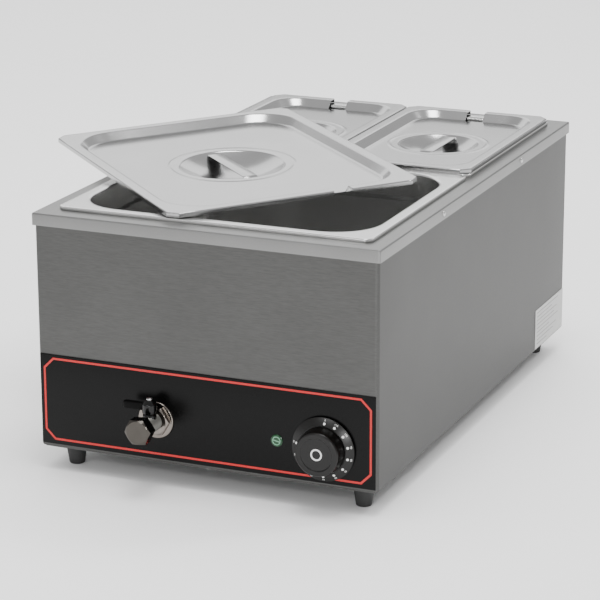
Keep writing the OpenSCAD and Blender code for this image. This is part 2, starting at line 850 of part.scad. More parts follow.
module knob() {
    back = panel_face - dial_gap;
    color(black) on_front(knob_x, knob_z, back) difference() {
        union() {
            cylinder(d = dial_d, h = dial_t - 1.2);
            translate([0, 0, dial_t - 1.2]) cylinder(d1 = dial_d, d2 = dial_d - 3, h = 1.2);
            translate([0, 0, dial_t]) cylinder(d1 = grip_d, d2 = grip_end_d, h = grip_l - 1.5);
            translate([0, 0, dial_t + grip_l - 1.5]) {
                cylinder(d1 = grip_end_d, d2 = grip_end_d - 3, h = 1.5);
            }
        }
        translate([0, 0, -1]) cylinder(d = shaft_d + 2 * run_gap, h = 14);
        translate([0, 0, dial_t + grip_l - 1]) cylinder(d = knob_cap_d + 2 * run_gap, h = 2);
    }
}

module knob_cap() {
    color("#303030") on_front(knob_x, knob_z, panel_face - dial_gap - dial_t - grip_l + 1) {
        cylinder(d = knob_cap_d, h = 1.2);
    }
}

module thermostat_shaft() {
    color("silver") on_front(knob_x, knob_z, front_y + 19) {
        cylinder(d = shaft_d, h = 19 + panel_t + dial_gap + 12);
    }
}

// Pans and lids

module cross_bar() {
    l = well_w - 4 * seat_gap;
    color(pale_steel) difference() {
        block(l, bar_w, deck_z - bar_h, deck_z);
        block(l + 1, bar_w - 2 * sheet, deck_z - bar_h - 1, deck_z - sheet);
    }
}

// A pan with a flat rim, a turned-down rim edge and a step below its shoulder
module pan(w, d, r) {
    in_w = w - 2 * pan_rim;
    in_d = d - 2 * pan_rim;
    low_w = in_w - 2 * shoulder_step;
    low_d = in_d - 2 * shoulder_step;
    low_r = r - shoulder_step;
    t = pan_sheet;
    difference() {
        union() {
            translate([0, 0, -t]) linear_extrude(t) chamfered(w, d, pan_corner);
            slab(in_w + 2 * t, in_d + 2 * t, r + t, -shoulder_h - t, 0);
            slab(low_w + 2 * t, low_d + 2 * t, low_r + t, -pan_h, -shoulder_h);
        }
        slab(in_w, in_d, r, -shoulder_h, 1);
        slab(low_w, low_d, low_r, -pan_h + t, -shoulder_h + 1);
    }
    rim_edge(w, d, pan_corner, rim_drop);
}

// The turned-down edge around a pan's or a lid's rim
module rim_edge(w, d, corner, drop) {
    t = pan_sheet;
    translate([0, 0, -drop]) linear_extrude(drop - t / 2) difference() {
        chamfered(w, d, corner);
        chamfered(w - 2 * t, d - 2 * t, corner - 0.6 * t);
    }
}

// A lid with its notch on the edge at -Y. The underside of its edge lies lid_drop below zero
module lid(w, d, rim, r, bowl_d, notch_x) {
    t = pan_sheet;
    in_w = w - 2 * rim;
    in_d = d - 2 * rim;
    difference() {
        union() {
            translate([0, 0, -t]) linear_extrude(t) chamfered(w, d, lid_corner);
            rim_edge(w, d, lid_corner, lid_drop);
            slab(in_w, in_d, r, -lid_under, 0);
            translate([0, 0, -lid_sink]) bowl_cap(bowl_d / 2, bowl_sink, t);
        }
        slab(in_w - 2 * t, in_d - 2 * t, r - t, -lid_sink, 1);
        translate([0, 0, -lid_sink]) bowl_cap(bowl_d / 2, bowl_sink, 0);
        translate([notch_x, -d / 2 + (rim + 2 * t) / 2 - 1, 0]) {
            block(notch_w, rim + 2 * t + 2, -lid_under - 1, 1);
        }
    }
}

// The space in a round bowl whose floor is part of a ball, or the bowl grown by its sheet
module bowl_cap(r, sink, grow) {
    ball_r = (r * r + sink * sink) / (2 * sink);
    intersection() {
        translate([0, 0, ball_r - sink]) sphere(ball_r + grow, $fn = 128);
        translate([0, 0, -sink - grow]) cylinder(r = r + grow, h = sink + grow + (grow == 0 ? eps : 0));
    }
}

// The strap lies level with the sunk panel, and its ends turn down along the bowl
module strap(bowl_d) {
    gap = 0.1;
    end_l = 6;
    end_h = 5;
    translate([0, 0, -lid_sink]) intersection() {
        union() {
            block(strap_w, bowl_d, -strap_t - strap_drop, -strap_drop);
            for (y = [-1, 1]) translate([0, y * (bowl_d - end_l) / 2, 0]) {
                block(strap_w, end_l, -end_h, -strap_drop);
            }
        }
        translate([0, 0, gap]) bowl_cap(bowl_d / 2 - gap, bowl_sink, 0);
    }
}

module place_front_pan() {
    translate([0, -half_d / 2, pan_z]) children();
}

module place_rear(side) {
    translate([side * quarter_w / 2, half_d / 2, 0]) children();
}

// The half-size lid lies askew: one corner on the front rim, its sunk panel on the rear lids,
// lifted where the panel would dip into the inner edge of the left rim
module place_front_lid() {
    translate([askew_x, -half_d - overhang, lid_z + askew_lift - overhang * tan(askew_tilt)]) {
        rotate([askew_tilt, 0, 0]) rotate([0, 0, askew]) {
            translate([lid_a / 2, lid_b / 2, 0]) children();
        }
    }
}

module place_rear_lid(side) {
    place_rear(side) translate([0, 0, lid_z]) rotate([0, 0, 180]) children();
}

module quarter_pan() {
    pan(quarter_w - pan_gap, half_d - pan_gap, quarter_pan_r);
}

module quarter_lid() {
    lid(quarter_w - 2 * lid_inset - pan_gap, half_d - 2 * lid_inset - pan_gap, pan_rim + seat_gap,
        quarter_pan_r - 1, quarter_bowl_d, 0);
}

module front_pan() {
    color(pale_steel) place_front_pan() pan(field_w - pan_gap, half_d - pan_gap, half_pan_r);
}

module rear_left_pan() {
    color(pale_steel) place_rear(-1) translate([0, 0, pan_z]) quarter_pan();
}

module rear_right_pan() {
    color(pale_steel) place_rear(1) translate([0, 0, pan_z]) quarter_pan();
}

module front_lid() {
    color("#c8c8c7") place_front_lid() {
        lid(lid_a, lid_b, pan_rim + seat_gap, half_pan_r - 1, half_bowl_d, notch_off);
    }
}

module front_strap() {
    color("#d0d0cf") place_front_lid() strap(half_bowl_d);
}

module rear_left_lid() {
    color("#c8c8c7") place_rear_lid(-1) quarter_lid();
}

module rear_left_strap() {
    color("#d0d0cf") place_rear_lid(-1) strap(quarter_bowl_d);
}

module rear_right_lid() {
    color("#c8c8c7") place_rear_lid(1) quarter_lid();
}

module rear_right_strap() {
    color("#d0d0cf") place_rear_lid(1) strap(quarter_bowl_d);
}

casing();
rear_panel();
deck();
base_plate();
tank();
bar_brackets();
control_panel();
feet();
foot_screws();
foot_nuts();
deck_screws();
base_screws();
rear_screws();
rating_plate();
heating_element();
element_sleeves();
element_nuts();
element_seals();
element_terminals();
element_rests();
drain_spigot();
drain_seal();
drain_nut();
drain_elbow();
thermostat_case();
thermostat_screws();
thermostat_bulb();
bulb_clip();
cutout_switch();
cutout_bracket();
lamp_holder();
lamp_lens();
terminal_block();
earth_stud();
cable_gland();
gland_nut();
wiring();
tap_barrel();
tap_washer();
tap_front_nut();
tap_inner_nut();
tap_seats();
tap_ball();
tap_lever();
lever_screw();
tap_cap();
cap_seal();
knob();
knob_cap();
thermostat_shaft();
cross_bar();
front_pan();
rear_left_pan();
rear_right_pan();
front_lid();
front_strap();
rear_left_lid();
rear_left_strap();
rear_right_lid();
rear_right_strap();
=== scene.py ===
import math

import bmesh
import bpy
from mathutils import Matrix, Vector


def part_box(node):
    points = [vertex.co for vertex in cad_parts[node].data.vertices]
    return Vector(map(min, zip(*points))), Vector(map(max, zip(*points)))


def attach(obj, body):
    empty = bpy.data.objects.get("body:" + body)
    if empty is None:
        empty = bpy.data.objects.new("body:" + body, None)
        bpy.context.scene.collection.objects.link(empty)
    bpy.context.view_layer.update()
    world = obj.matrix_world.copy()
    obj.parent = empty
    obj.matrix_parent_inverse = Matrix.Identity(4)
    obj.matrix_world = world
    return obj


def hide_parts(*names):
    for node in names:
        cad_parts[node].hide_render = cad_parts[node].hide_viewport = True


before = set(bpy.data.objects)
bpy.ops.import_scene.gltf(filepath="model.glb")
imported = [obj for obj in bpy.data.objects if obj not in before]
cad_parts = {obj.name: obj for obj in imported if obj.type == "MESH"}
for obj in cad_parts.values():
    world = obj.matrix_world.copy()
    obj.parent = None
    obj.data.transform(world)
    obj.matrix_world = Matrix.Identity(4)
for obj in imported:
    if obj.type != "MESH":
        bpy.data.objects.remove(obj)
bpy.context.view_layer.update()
print("frame loaded")

mm = 0.001


# Colours and materials

def toLinear(hexText):
    parts = [int(hexText[i:i + 2], 16) / 255 for i in (1, 3, 5)]
    return [p / 12.92 if p <= 0.04045 else ((p + 0.055) / 1.055) ** 2.4 for p in parts] + [1.0]


def addNode(tree, kind, settings=None, links=None):
    node = tree.nodes.new(kind)
    for key, value in (settings or {}).items():
        if isinstance(key, int) or key in node.inputs:
            node.inputs[key].default_value = value
        else:
            setattr(node, key, value)
    for key, socket in (links or {}).items():
        tree.links.new(socket, node.inputs[key])
    return node


def startMaterial(name):
    material = bpy.data.materials.new(name)
    material.use_nodes = True
    tree = material.node_tree
    tree.nodes.clear()
    return material, tree


def endMaterial(tree, shader):
    addNode(tree, "ShaderNodeOutputMaterial", links={"Surface": shader.outputs["BSDF"]})


def brushedSteel(name, look):
    # Stainless sheet: fine scratches in one direction, with broad soft clouds from rolling and wiping
    material, tree = startMaterial(name)
    place = addNode(tree, "ShaderNodeTexCoord")
    fine = [1 / (look["grainWidth"] * mm)] * 3
    for axis in look["along"]:
        fine["xyz".index(axis)] = 1 / (look["grainLength"] * mm)
    stretch = addNode(tree, "ShaderNodeMapping", {"Scale": fine}, {"Vector": place.outputs["Object"]})
    grain = addNode(tree, "ShaderNodeTexNoise", {"Scale": 1.0, "Detail": 3.0, "Roughness": 0.6},
                    {"Vector": stretch.outputs["Vector"]})
    clouds = addNode(tree, "ShaderNodeTexNoise", {"Scale": 1 / (look["cloud"] * mm), "Detail": 2.0},
                     {"Vector": place.outputs["Object"]})
    grainTone = addNode(tree, "ShaderNodeMapRange", {"From Min": 0.3, "From Max": 0.7,
                        "To Min": 1 - look["grainTone"], "To Max": 1 + look["grainTone"]},
                        {"Value": grain.outputs["Fac"]})
    cloudTone = addNode(tree, "ShaderNodeMapRange", {"From Min": 0.3, "From Max": 0.7,
                        "To Min": 1 - look["cloudTone"], "To Max": 1 + look["cloudTone"]},
                        {"Value": clouds.outputs["Fac"]})
    tone = addNode(tree, "ShaderNodeMath", {"operation": "MULTIPLY"},
                   {0: grainTone.outputs["Result"], 1: cloudTone.outputs["Result"]})
    colour = addNode(tree, "ShaderNodeVectorMath", {"operation": "SCALE", 0: toLinear(look["colour"])[:3]},
                     {"Scale": tone.outputs["Value"]})
    rough = addNode(tree, "ShaderNodeMapRange", {"From Min": 0.3, "From Max": 0.7,
                    "To Min": look["roughness"] - look["roughSpread"],
                    "To Max": look["roughness"] + look["roughSpread"]}, {"Value": grain.outputs["Fac"]})
    bump = addNode(tree, "ShaderNodeBump", {"Strength": look["bump"], "Distance": 0.05 * mm},
                   {"Height": grain.outputs["Fac"]})
    edge = look["edgeTint"]
    shader = addNode(tree, "ShaderNodeBsdfPrincipled", {"Metallic": 1.0, "Specular Tint": (edge, edge, edge, 1.0)},
                     {"Base Color": colour.outputs["Vector"], "Roughness": rough.outputs["Result"],
                      "Normal": bump.outputs["Normal"]})
    endMaterial(tree, shader)
    return material


def plainFinish(name, look):
    # Moulded, plated or painted surfaces: one colour, with fine grain and slight unevenness of gloss
    material, tree = startMaterial(name)
    place = addNode(tree, "ShaderNodeTexCoord")
    grain = addNode(tree, "ShaderNodeTexNoise", {"Scale": 1 / (look["grain"] * mm), "Detail": 4.0},
                    {"Vector": place.outputs["Object"]})
    wear = addNode(tree, "ShaderNodeTexNoise", {"Scale": 1 / (look["grain"] * 14 * mm), "Detail": 2.0},
                   {"Vector": place.outputs["Object"]})
    tone = addNode(tree, "ShaderNodeMapRange", {"From Min": 0.3, "From Max": 0.7,
                   "To Min": 1 - look["tone"], "To Max": 1 + look["tone"]}, {"Value": wear.outputs["Fac"]})
    colour = addNode(tree, "ShaderNodeVectorMath", {"operation": "SCALE", 0: toLinear(look["colour"])[:3]},
                     {"Scale": tone.outputs["Result"]})
    rough = addNode(tree, "ShaderNodeMapRange", {"From Min": 0.3, "From Max": 0.7,
                    "To Min": look["roughness"] * 0.85, "To Max": look["roughness"] * 1.15},
                    {"Value": grain.outputs["Fac"]})
    bump = addNode(tree, "ShaderNodeBump", {"Strength": look["bump"], "Distance": 0.05 * mm},
                   {"Height": grain.outputs["Fac"]})
    shader = addNode(tree, "ShaderNodeBsdfPrincipled",
                     {"Metallic": look["metallic"], "IOR": 1.5, "Specular IOR Level": look["gloss"],
                      "Emission Color": toLinear(look["colour"]), "Emission Strength": look["glow"]},
                     {"Base Color": colour.outputs["Vector"], "Roughness": rough.outputs["Result"],
                      "Normal": bump.outputs["Normal"]})
    endMaterial(tree, shader)
    return material


def steelLook(colour, roughness, along, **changes):
    # Scratches of a 240 grit belt are about 0.05 mm apart: 0.9 mm is the finest that shows from here
    look = {"colour": colour, "roughness": roughness, "along": along, "grainWidth": 0.9, "grainLength": 40,
            "grainTone": 0.05, "cloud": 60, "cloudTone": 0.03, "roughSpread": 0.05, "bump": 0.08, "edgeTint": 1.0}
    look.update(changes)
    return look


def coatLook(colour, roughness, **changes):
    look = {"colour": colour, "roughness": roughness, "metallic": 0.0, "grain": 0.6, "tone": 0.05, "bump": 0.05,
            "gloss": 0.5, "glow": 0.0}
    look.update(changes)
    return look


steels = {
    # casing, belt-ground across: dull mid grey with a fine mottle
    "stainlessCasing": steelLook("#545453", 0.42, "x", grainLength=9, grainTone=0.13, edgeTint=0.85),
    # deck and skirt, belt-ground: a little paler than the casing
    "stainlessDeck": steelLook("#858584", 0.38, "y", grainTone=0.07),
    # tank and brackets, plain mill finish: smooth, faintly cloudy
    "stainlessTank": steelLook("#a6a6a4", 0.30, "z", grainTone=0.02),
    # drawn pans: smooth satin inside and on the rim
    "stainlessPan": steelLook("#d2d2d1", 0.22, "z", grainTone=0.01, roughSpread=0.02, bump=0.01),
    # pressed lids: pale satin, soft broad highlights
    "stainlessLid": steelLook("#b2b2b2", 0.20, "y", grainTone=0.012, roughSpread=0.02, bump=0.01),
}
finishes = {
    # nickel-plated brass of the tap: warm mirror, slightly hazy
    "platedTap": coatLook("#7d7771", 0.14, metallic=1.0, grain=0.8),
    # end cap, the same plating in a darker colour: brownish grey with bright edges
    "darkerCapPlate": coatLook("#4c4945", 0.20, metallic=1.0, grain=0.8, tone=0.06, bump=0.08),
    # threaded barrel, plated over a cut thread: satin grey
    "threadedPlate": coatLook("#6e6d69", 0.42, metallic=1.0, tone=0.06, bump=0.1),
    # zinc-plated steel screws: pale and half bright
    "zincScrew": coatLook("#c9c9c8", 0.30, metallic=1.0),
    # brass and copper of the hidden fittings
    "machinedBrass": coatLook("#c9a75a", 0.30, metallic=1.0, grain=0.7, tone=0.06),
    "drawnCopper": coatLook("#b87a4a", 0.32, metallic=1.0, grain=0.9, tone=0.08),
    # element tube, burnt steel: matt and brownish
    "elementTube": coatLook("#77716a", 0.50, metallic=1.0, grain=1.2, tone=0.12, bump=0.1),
    # control panel, printed polyester foil: near black with a soft sheen
    "printedFoil": coatLook("#030303", 0.30, grain=0.7, tone=0.06, bump=0.02, gloss=0.16),
    # red print on the foil
    "redPrint": coatLook("#c00c0a", 0.30, grain=0.7, tone=0.02, bump=0.01),
    # white print on the dial
    "whitePrint": coatLook("#e9e9e7", 0.45, grain=0.5, tone=0.02, bump=0.01),
    # knob, moulded phenolic: black, silky
    "mouldedKnob": coatLook("#060504", 0.30, gloss=0.35, grain=0.5, tone=0.06),
    # boss and collar of the lever, dipped vinyl: wet-looking black
    "dippedLever": coatLook("#040404", 0.14, grain=1.0, bump=0.02, gloss=0.35),
    # arm of the lever, matt vinyl: takes almost no light
    "mattVinyl": coatLook("#030303", 0.55, grain=0.8, gloss=0.1),
    # feet and seals, moulded rubber: soft, no gloss
    "mouldedRubber": coatLook("#262626", 0.62, tone=0.08, bump=0.12),
    # cases of the controls, moulded plastic
    "mouldedCase": coatLook("#d9d4c7", 0.45, tone=0.03),
    "mouldedGland": coatLook("#202020", 0.48, bump=0.06),
    # glazed ceramic insulators
    "glazedCeramic": coatLook("#e6e1d6", 0.15, grain=0.8, tone=0.03, bump=0.02),
    # turned plastic seats in the tap
    "turnedPlastic": coatLook("#ececea", 0.35, grain=0.5, tone=0.02, bump=0.02),
    # signal lens, tinted acrylic: clear green
    "tintedLens": coatLook("#053a1a", 0.10, grain=1.0, bump=0.02, glow=0.12),
    # the raised ring and bar of the lens: a paler copy of the lens colour, a painted highlight for the light they catch
    "highlightLens": coatLook("#6a9d7f", 0.18, grain=1.0, bump=0.02),
    # rating plate, matt silver foil
    "silverFoil": coatLook("#b9b9b8", 0.45, grain=0.8, tone=0.03, bump=0.02),
    "greyPrint": coatLook("#7c7c7c", 0.50, grain=0.5, tone=0.04, bump=0.01),
    # leads, insulated wire
    "insulatedLead": coatLook("#3a3a3a", 0.50, bump=0.04),
}
materials = {name: brushedSteel(name, look) for name, look in steels.items()}
materials.update({name: plainFinish(name, look) for name, look in finishes.items()})
print("materials made:", len(materials))


# Mesh helpers

def softPath(corners, steps=5):
    # A path through (across, height, radius) corners, with each corner rounded to its radius
    path = []
    for i, (x, z, radius) in enumerate(corners):
        here = Vector((x, z))
        if radius == 0 or i in (0, len(corners) - 1):
            path.append(here)
            continue
        before = (Vector(corners[i - 1][:2]) - here).normalized()
        after = (Vector(corners[i + 1][:2]) - here).normalized()
        turn = before.angle(after)
        reach = radius / math.tan(turn / 2)
        middle = here + (before + after).normalized() * (radius / math.sin(turn / 2))
        start = here + before * reach - middle
        sweep = start.angle_signed(here + after * reach - middle)
        for step in range(steps + 1):
            path.append(middle + Matrix.Rotation(-sweep * step / steps, 2) @ start)
    return path


# Points along each side of a loop, or each part of a cut side, and points round each corner
sidePoints, cornerPoints = 8, 10


def sideStops(half, cuts, count):
    # Points along one side. The cuts keep their place on every loop, so that a gap has straight edges
    marks = [-half] + list(cuts) + [half]
    stops = []
    for low, high in zip(marks, marks[1:]):
        stops += [low + (high - low) * i / count for i in range(count)]
    return stops


def rectLoop(width, depth, corner, power, z, cuts, count=sidePoints, cornerCount=cornerPoints):
    # A rectangle whose corners go from round (power 1) to cut straight (power 2)
    turns = [(1, 0, 0, 1), (0, -1, 1, 0), (-1, 0, 0, -1), (0, 1, -1, 0)]
    points = []
    for k, (ax, bx, ay, by) in enumerate(turns):
        across, out = (width, depth) if k % 2 == 0 else (depth, width)
        half = across / 2 - corner
        local = [(s, -out / 2) for s in sideStops(half, cuts[k], count)]
        for i in range(cornerCount):
            a = math.pi / 2 * i / cornerCount
            local.append((half + corner * math.sin(a) ** power,
                          -out / 2 + corner - corner * math.cos(a) ** power))
        points += [(ax * x + bx * y, ay * x + by * y, z) for x, y in local]
    return points


def roundLoop(radius, z, cuts, count=sidePoints, cornerCount=cornerPoints):
    points = []
    sizes = [count * (len(c) + 1) + cornerCount for c in cuts]
    for k, size in enumerate(sizes):
        lead = count * (len(cuts[k]) + 1)
        for i in range(size):
            if i < lead:        # a side takes 0.7 of the quarter turn and a corner the rest
                a = -math.pi / 4 * 0.7 + math.pi / 2 * 0.7 * i / lead
            else:
                a = math.pi / 4 * 0.7 + math.pi / 2 * 0.3 * (i - lead) / cornerCount
            a += k * math.pi / 2 - math.pi / 2
            points.append((radius * math.cos(a), radius * math.sin(a), z))
    return points


def loft(loops, openFaces=None, capped=False):
    # Skins neighbouring loops. openFaces(loop, step) tells which faces are left out
    count = len(loops[0])
    vertices = [p for loop in loops for p in loop]
    faces = []
    for i in range(len(loops) - 1):
        for j in range(count):
            if openFaces and openFaces(i, j):
                continue
            k = (j + 1) % count
            faces.append((i * count + j, i * count + k, (i + 1) * count + k, (i + 1) * count + j))
    if capped:
        last = (len(loops) - 1) * count
        faces.append(tuple(last + j for j in range(count)))
    return vertices, faces


def makePiece(name, shape, material, body, nodes=(), place=None, sheet=0.0, smoothAngle=35, bevel=0.0):
    mesh = bpy.data.meshes.new(name)
    mesh.from_pydata([Vector(p) for p in shape[0]], [], shape[1])
    piece = bpy.data.objects.new(name, mesh)
    bpy.context.scene.collection.objects.link(piece)
    return dressPiece(piece, material, body, nodes, place, sheet, smoothAngle, bevel)


def dressPiece(piece, material, body, nodes=(), place=None, sheet=0.0, smoothAngle=35, bevel=0.0):
    mesh = piece.data
    if place is not None:
        mesh.transform(place)
    mesh.materials.clear()
    mesh.materials.append(materials[material])
    if sheet:
        skin = piece.modifiers.new("sheet", "SOLIDIFY")
        skin.thickness = sheet
        skin.offset = -1
    if bevel:
        edge = piece.modifiers.new("edge", "BEVEL")
        edge.width = bevel
        edge.segments = 3
        edge.limit_method = "ANGLE"
        edge.angle_limit = math.radians(40)
    applyModifiers(piece)
    work = bmesh.new()
    work.from_mesh(piece.data)
    bmesh.ops.remove_doubles(work, verts=work.verts, dist=0.002 * mm)
    work.to_mesh(piece.data)
    work.free()
    piece.data.shade_smooth()
    piece.data.set_sharp_from_angle(angle=math.radians(smoothAngle))
    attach(piece, body)
    if nodes:
        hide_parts(*nodes)
    return piece


def applyModifiers(piece):
    if not piece.modifiers:
        return
    bpy.context.view_layer.update()
    solid = bpy.data.meshes.new_from_object(piece.evaluated_get(bpy.context.evaluated_depsgraph_get()))
    piece.modifiers.clear()
    piece.data = solid


def lathe(profile, count=72):
    # Turns a (radius, height) profile about Z. Points with no radius close the shape
    vertices, faces, rings = [], [], []
    for radius, z in profile:
        if radius < 1e-7:
            rings.append([len(vertices)])
            vertices.append((0, 0, z))
        else:
            rings.append([len(vertices) + i for i in range(count)])
            for i in range(count):
                a = 2 * math.pi * i / count
                vertices.append((radius * math.cos(a), radius * math.sin(a), z))
    for low, high in zip(rings, rings[1:]):
        for i in range(count):
            k = (i + 1) % count
            if len(low) == 1 and len(high) > 1:
                faces.append((low[0], high[k], high[i]))
            elif len(high) == 1 and len(low) > 1:
                faces.append((low[i], low[k], high[0]))
            elif len(low) > 1:
                faces.append((low[i], low[k], high[k], high[i]))
    return vertices, faces


def joined(*shapes):
    vertices, faces = [], []
    for v, f in shapes:
        start = len(vertices)
        vertices += list(v)
        faces += [tuple(i + start for i in face) for face in f]
    return vertices, faces


def moved(shape, matrix):
    return [tuple(matrix @ Vector(p)) for p in shape[0]], shape[1]


facing = Matrix.Rotation(math.pi / 2, 4, "X")      # points +Z out of the front, towards -Y


def outOfFront(x, y, z):
    return Matrix.Translation((x, y, z)) @ facing


# Camera and light

view = {
    "place": (0.99459, -2.3794, 0.88713),
    "azimuth": 23.13,
    "elevation": 16.70,
    "roll": -0.22,
    "lens": 155.1,
    "sensor": 36,
}
studio = {
    "floor": "#fbfbfb",
    "world": "#ffffff",
    "worldStrength": 0.75,
    "floorRoughness": 0.8,
    "floorReach": 8,
}
# Each soft box: where it stands, what it faces, its size in metres and its power in watts
softBoxes = {
    "backWall": ((-2.3, 3.6, 2.5), (0, 0, 0.2), (5.2, 2.4), 60),       # seen in the level sheets of the lids
    "cornerBox": ((1.9, 1.3, 2.6), (0, 0, 0.25), (0.4, 0.4), 25),      # bright spots on bends and corners
    "panBox": ((0.3, -0.3, 3.2), (0, -0.1, 0.2), (1.2, 1.2), 56),      # soft patches inside the pans
    "overheadBox": ((0.2, 0.4, 4.2), (0, 0, 0), (6.0, 6.0), 225),      # evens out the floor
    "frontStrip": ((-0.6, -3.4, 2.0), (0, 0, 0.1), (1.4, 0.5), 22),    # fills the front from the left
    "cameraBox": ((0.95, -3.0, 0.45), (0.1, -0.3, 0.1), (0.4, 0.4), 20),   # faint sheen on the dial, glints on the tap
}


def placeCamera():
    az, el, roll = (math.radians(view[k]) for k in ("azimuth", "elevation", "roll"))
    back = Vector((math.sin(az) * math.cos(el), -math.cos(az) * math.cos(el), math.sin(el)))
    right = Vector((math.cos(az), math.sin(az), 0))
    up = back.cross(right)
    side = math.cos(roll) * right + math.sin(roll) * up
    top = math.cos(roll) * up - math.sin(roll) * right
    data = bpy.data.cameras.new("mainCamera")
    data.lens = view["lens"]
    data.sensor_width = view["sensor"]
    camera = bpy.data.objects.new("mainCamera", data)
    camera.matrix_world = Matrix.Translation(view["place"]) @ Matrix((side, top, back)).transposed().to_4x4()
    bpy.context.scene.collection.objects.link(camera)
    bpy.context.scene.camera = camera


def softLight(name, place, aim, size, power):
    data = bpy.data.lights.new(name, "AREA")
    data.shape = "RECTANGLE"
    data.size, data.size_y = size
    data.energy = power
    light = bpy.data.objects.new(name, data)
    light.location = place
    light.rotation_euler = (Vector(aim) - Vector(place)).to_track_quat("-Z", "Y").to_euler()
    light.visible_glossy = name != "overheadBox"      # the steel does not mirror this one
    bpy.context.scene.collection.objects.link(light)


def setStage():
    floorMaterial, tree = startMaterial("paleFloor")
    shader = addNode(tree, "ShaderNodeBsdfPrincipled",
                     {"Base Color": toLinear(studio["floor"]), "Roughness": studio["floorRoughness"]})
    endMaterial(tree, shader)
    mesh = bpy.data.meshes.new("floor")
    reach = studio["floorReach"]
    mesh.from_pydata([(-reach, -reach, 0), (reach, -reach, 0), (reach, reach, 0), (-reach, reach, 0)], [],
                     [(0, 1, 2, 3)])
    floor = bpy.data.objects.new("floor", mesh)
    mesh.materials.append(floorMaterial)
    bpy.context.scene.collection.objects.link(floor)
    world = bpy.data.worlds.new("studio")
    bpy.context.scene.world = world
    world.use_nodes = True
    ground = world.node_tree.nodes["Background"]
    ground.inputs["Color"].default_value = toLinear(studio["world"])
    ground.inputs["Strength"].default_value = studio["worldStrength"]
    for name, (place, aim, size, power) in softBoxes.items():
        softLight(name, place, aim, size, power)


placeCamera()
setStage()
print("camera and light set")


# Casing and deck

casing = {"bend": 4 * mm, "footBend": 1.5 * mm, "lip": 12 * mm, "leastCorner": 0.15 * mm, "backBand": 3 * mm,
          "footBand": 1 * mm, "sheet": 1 * mm}
deck = {"well": (304 * mm, 509 * mm), "corner": 2.2 * mm, "bend": 1.6 * mm, "wellCorner": 30 * mm,
        "wellBend": 2 * mm, "wellDrop": 4 * mm, "border": 8 * mm, "wellBorder": 6 * mm, "leastCorner": 0.3 * mm,
        "sheet": 1 * mm}


def makeCasing():
    low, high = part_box("casing")
    width, depth = high.x - low.x, high.y - low.y
    backCut = width / 2 - casing["lip"]
    cuts = [[], [], [-backCut, backCut], []]
    section = softPath([(casing["lip"], low.z, 0), (0, low.z, casing["footBend"]), (0, high.z, 0)])
    loops = []
    for inset, z in section:
        corner = max(casing["bend"] - inset, casing["leastCorner"])
        loops.append(rectLoop(width - 2 * inset, depth - 2 * inset, corner, 1, z, cuts))
    first = 2 * (sidePoints + cornerPoints) + sidePoints      # the back is open between its two lips

    def isOpen(loop, step):
        atBack = loops[loop][step][1] > depth / 2 - casing["backBand"]
        return first <= step < first + sidePoints or (atBack and loops[loop][step][2] < low.z + casing["footBand"])
    shape = loft(loops, isOpen)
    makePiece("casingShell", shape, "stainlessCasing", "chassis", ["casing"],
              Matrix.Translation((0, (low.y + high.y) / 2, 0)), casing["sheet"])


def makeDeck():
    low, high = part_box("deck")
    wellWidth, wellDepth = deck["well"]
    width, depth = high.x - low.x, high.y - low.y
    cuts = [[], [], [], []]
    loops = []
    for inset, z in softPath([(0, low.z, 0), (0, high.z, deck["bend"]), (deck["border"], high.z, 0)]):
        corner = max(deck["corner"] - inset, deck["leastCorner"])
        loops.append(rectLoop(width - 2 * inset, depth - 2 * inset, corner, 1, z, cuts))
    for inset, z in softPath([(-deck["wellBorder"], high.z, 0), (0, high.z, deck["wellBend"]),
                              (0, high.z - deck["wellDrop"], 0)]):
        loops.append(rectLoop(wellWidth - 2 * inset, wellDepth - 2 * inset, deck["wellCorner"] - inset, 1, z, cuts))
    makePiece("deckShell", loft(loops), "stainlessDeck", "chassis", ["deck"], None, deck["sheet"])


makeCasing()
makeDeck()
print("casing and deck made")


# Pans and lids

cornerFall = 0.6      # the share of its inset by which a corner's radius shrinks
pan = {"rim": 13 * mm, "rimDrop": 3 * mm, "rimBend": 1.2 * mm, "rimCorner": 7 * mm, "mouthRun": 5 * mm,
       "mouthBend": 2.5 * mm, "shoulder": 25 * mm, "shoulderStep": 3 * mm, "shoulderDrop": 4 * mm,
       "shoulderBend": 1.6 * mm, "draft": 4 * mm, "neckDraft": 0.6 * mm, "floorBend": 22 * mm, "floorRun": 60 * mm,
       "leastCorner": 4 * mm, "rimRun": 4 * mm, "cornerPower": 1.5, "sheet": 0.8 * mm}
lid = {"rimBend": 1.2 * mm, "rimCorner": 9 * mm, "rim": 11 * mm, "wallRun": 7 * mm, "wallTop": 3.2 * mm,
       "wallFoot": 3.2 * mm, "drop": 4.5 * mm, "sink": 8 * mm, "notch": 20 * mm, "beadGap": 9.5 * mm,
       "beadHeight": 0.6 * mm, "bowlLip": 2.2 * mm, "lipDrop": 1.1 * mm, "bowlSink": 15 * mm, "bowlSteps": 13,
       "rimRun": 3 * mm, "footRun": 4 * mm, "cornerPower": 2, "lipGap": 0.6 * mm, "lipSteps": 4, "sheet": 0.8 * mm}
strap = {"width": 15 * mm, "thick": 1.5 * mm, "drop": 0.3 * mm, "endRun": 7 * mm, "endDrop": 4.6 * mm,
         "endGap": 1.2 * mm, "bend": 2.5 * mm, "bevel": 0.5 * mm, "bevelDrop": 0.35 * mm}
halfLid = {"short": 264 * mm, "long": 324 * mm, "turn": 47.5, "tilt": math.degrees(math.atan(9.1 / 265)),
           "corner": 44 * mm, "bowl": 54 * mm, "notchAt": 48.5 * mm}
quarterLid = {"corner": 29 * mm, "bowl": 42.5 * mm, "notchAt": 0.0}
panCorners = {"front_pan": 45 * mm, "rear_left_pan": 30 * mm, "rear_right_pan": 30 * mm}


